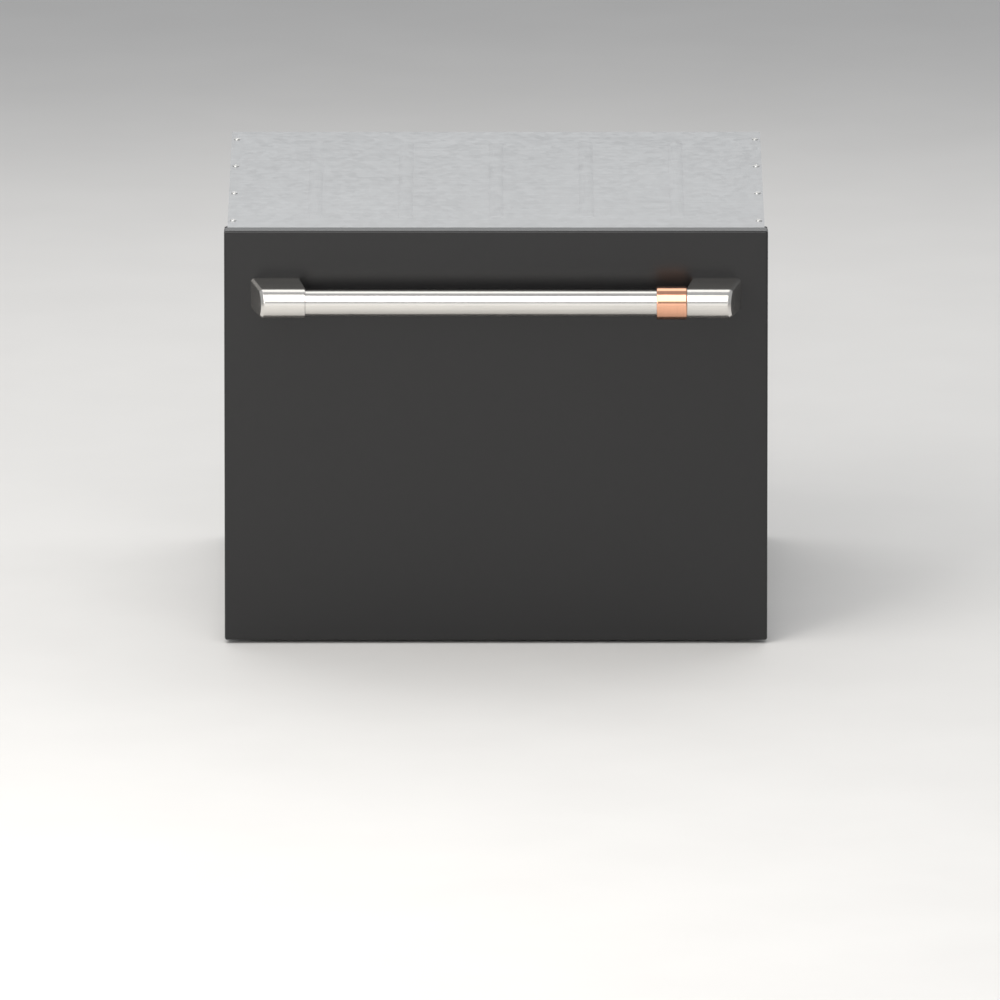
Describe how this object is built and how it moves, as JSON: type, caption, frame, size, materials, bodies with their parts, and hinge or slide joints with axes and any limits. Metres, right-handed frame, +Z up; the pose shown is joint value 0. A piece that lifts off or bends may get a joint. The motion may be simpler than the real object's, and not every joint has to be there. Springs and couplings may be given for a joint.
{
  "type": "drawer dishwasher",
  "caption": "Built-in single-drawer dishwasher: dark flat front with a tubular bar handle, a sliding tub with rack, spray arm and dispenser, and a lid that drops to seal it.",
  "frame": {"origin": "under the middle of the whole appliance, handle included, on the floor that the feet stand on", "axes": "+X to the right seen from the front, +Y to the back, +Z up; the drawer opens towards -Y"},
  "size_m": [0.599, 0.6384, 0.465],
  "materials": {
    "front_paint": "satin dark graphite paint",
    "handle_steel": "brushed along the bar",
    "copper": "brushed copper tone",
    "galvanised": "galvanised sheet",
    "screw_steel": "zinc plated",
    "runner_steel": "cold-rolled, plated",
    "seal_rubber": "matte black",
    "grommet_rubber": "matte black",
    "dark_plastic": "fine-textured moulding",
    "panel_plastic": "smooth dark moulding",
    "button_plastic": "smooth moulding",
    "tub_plastic": "pale grey moulding",
    "lid_plastic": "pale grey moulding",
    "nylon": "natural nylon",
    "rack_coating": "nylon-coated wire",
    "tine_coating": "nylon-coated wire",
    "grey_plastic": "smooth moulding",
    "basket_plastic": "smooth moulding",
    "filter_steel": "perforated stainless",
    "heater_steel": "dull nickel alloy",
    "arm_plastic": "smooth moulding",
    "flap_plastic": "smooth moulding",
    "board_green": "circuit board",
    "motor_case": "dark motor can",
    "felt": "pressed felt"
  },
  "bodies": {
    "chassis": {"chassis_base": "galvanised", "chassis_left_side": "galvanised", "chassis_right_side": "galvanised", "chassis_top": "galvanised", "chassis_back": "galvanised", "chassis_screws": "screw_steel", "edge_seals": "seal_rubber", "fixing_brackets": "screw_steel", "hose_grommets": "grommet_rubber", "power_module": "dark_plastic", "inlet_valve": "nylon", "hose_pivot_bracket": "galvanised", "rear_feet": "dark_plastic", "outer_runners": "runner_steel", "lid_guides": "nylon", "lid_actuators": "dark_plastic"},
    "middle_runners": {"middle_runners": "runner_steel"},
    "drawer": {"front_skin": "front_paint", "front_backing": "dark_plastic", "front_sound_pad": "felt", "front_brackets": "galvanised", "handle_bar": "handle_steel", "left_handle_end": "handle_steel", "right_handle_end": "handle_steel", "handle_ring": "copper", "handle_screws": "screw_steel", "control_panel": "panel_plastic", "control_board": "board_green", "tub": "tub_plastic", "pump_housing": "grey_plastic", "wash_motor": "motor_case", "drain_pump": "dark_plastic", "heater_ring": "heater_steel", "filter_plate": "filter_steel", "rack": "rack_coating", "rack_feet_and_clips": "grey_plastic", "cutlery_basket": "basket_plastic", "dispenser_housing": "grey_plastic", "inner_runners": "runner_steel"},
    "lid": {"lid": "lid_plastic", "lid_seal": "seal_rubber", "lid_lift_rods": "screw_steel"},
    "rear_hose_arm": {"rear_hose_arm": "dark_plastic"},
    "front_hose_arm": {"front_hose_arm": "dark_plastic"},
    "front_left_foot": {"front_left_foot": "dark_plastic"},
    "front_right_foot": {"front_right_foot": "dark_plastic"},
    "spray_arm": {"spray_arm": "arm_plastic"},
    "impeller": {"impeller": "grey_plastic"},
    "drain_filter": {"drain_filter": "grey_plastic"},
    "power_button": {"power_button": "button_plastic"},
    "cycle_button": {"cycle_button": "button_plastic"},
    "options_button": {"options_button": "button_plastic"},
    "start_button": {"start_button": "button_plastic"},
    "detergent_flap": {"detergent_flap": "flap_plastic"},
    "rinse_aid_cap": {"rinse_aid_cap": "flap_plastic"},
    "front_tines": {"front_tines": "tine_coating"},
    "rear_tines": {"rear_tines": "tine_coating"},
    "left_cup_shelf": {"left_cup_shelf": "basket_plastic"},
    "right_cup_shelf": {"right_cup_shelf": "basket_plastic"}
  },
  "joints": [
    {"name": "drawer_slide", "type": "slide", "parent": "chassis", "child": "drawer", "axis": [0, -1, 0], "range_m": [0, 0.47]},
    {"name": "middle_runner_slide", "type": "slide", "parent": "chassis", "child": "middle_runners", "axis": [0, -1, 0], "range_m": [0, 0.235]},
    {"name": "lid_drop", "type": "slide", "parent": "chassis", "child": "lid", "axis": [0, 0, -1], "range_m": [0, 0.012]},
    {"name": "rear_hose_arm_swing", "type": "hinge", "parent": "chassis", "child": "rear_hose_arm", "pos_m": [-0.215, 0.2972, 0.072], "axis": [0, 0, -1], "range_deg": [0, 30.1]},
    {"name": "front_hose_arm_swing", "type": "hinge", "parent": "rear_hose_arm", "child": "front_hose_arm", "pos_m": [0.249, 0.2972, 0.098], "axis": [0, 0, 1], "range_deg": [0, 60.2]},
    {"name": "front_left_foot_turn", "type": "hinge", "parent": "chassis", "child": "front_left_foot", "pos_m": [-0.265, -0.1948, 0.01], "axis": [0, 0, 1], "continuous": true},
    {"name": "front_right_foot_turn", "type": "hinge", "parent": "chassis", "child": "front_right_foot", "pos_m": [0.265, -0.1948, 0.01], "axis": [0, 0, 1], "continuous": true},
    {"name": "spray_arm_spin", "type": "hinge", "parent": "drawer", "child": "spray_arm", "pos_m": [0, 0.0397, 0.1082], "axis": [0, 0, 1], "continuous": true},
    {"name": "impeller_spin", "type": "hinge", "parent": "drawer", "child": "impeller", "pos_m": [0, 0.0397, 0.0632], "axis": [0, 0, 1], "continuous": true},
    {"name": "drain_filter_turn", "type": "hinge", "parent": "drawer", "child": "drain_filter", "pos_m": [0.065, 0.0397, 0.0922], "axis": [0, 0, 1], "range_deg": [0, 60]},
    {"name": "detergent_flap_hinge", "type": "hinge", "parent": "drawer", "child": "detergent_flap", "pos_m": [-0.03, -0.1892, 0.318], "axis": [-1, 0, 0], "range_deg": [0, 100]},
    {"name": "rinse_aid_cap_turn", "type": "hinge", "parent": "drawer", "child": "rinse_aid_cap", "pos_m": [0.041, -0.1923, 0.351], "axis": [0, 1, 0], "range_deg": [0, 90]},
    {"name": "front_tines_fold", "type": "hinge", "parent": "drawer", "child": "front_tines", "pos_m": [0, -0.0253, 0.13875], "axis": [-1, 0, 0], "range_deg": [0, 88]},
    {"name": "rear_tines_fold", "type": "hinge", "parent": "drawer", "child": "rear_tines", "pos_m": [0, 0.1047, 0.13875], "axis": [-1, 0, 0], "range_deg": [0, 88]},
    {"name": "left_cup_shelf_fold", "type": "hinge", "parent": "drawer", "child": "left_cup_shelf", "pos_m": [-0.252, 0.0397, 0.2502], "axis": [0, -1, 0], "range_deg": [0, 80]},
    {"name": "right_cup_shelf_fold", "type": "hinge", "parent": "drawer", "child": "right_cup_shelf", "pos_m": [0.252, 0.0397, 0.2502], "axis": [0, 1, 0], "range_deg": [0, 80]},
    {"name": "power_button_press", "type": "slide", "parent": "drawer", "child": "power_button", "axis": [0, 0, -1], "range_m": [0, 0.001], "stiffness_N_per_m": 1000, "springref_m": -0.0005},
    {"name": "cycle_button_press", "type": "slide", "parent": "drawer", "child": "cycle_button", "axis": [0, 0, -1], "range_m": [0, 0.001], "stiffness_N_per_m": 1000, "springref_m": -0.0005},
    {"name": "options_button_press", "type": "slide", "parent": "drawer", "child": "options_button", "axis": [0, 0, -1], "range_m": [0, 0.001], "stiffness_N_per_m": 1000, "springref_m": -0.0005},
    {"name": "start_button_press", "type": "slide", "parent": "drawer", "child": "start_button", "axis": [0, 0, -1], "range_m": [0, 0.001], "stiffness_N_per_m": 1000, "springref_m": -0.0005}
  ],
  "couplings": [
    {"joint": "middle_runner_slide", "follows": "drawer_slide", "ratio": 0.5},
    {"joint": "rear_hose_arm_swing", "follows": "drawer_slide", "rad_per_m": 1.115},
    {"joint": "front_hose_arm_swing", "follows": "drawer_slide", "rad_per_m": 2.23}
  ]
}
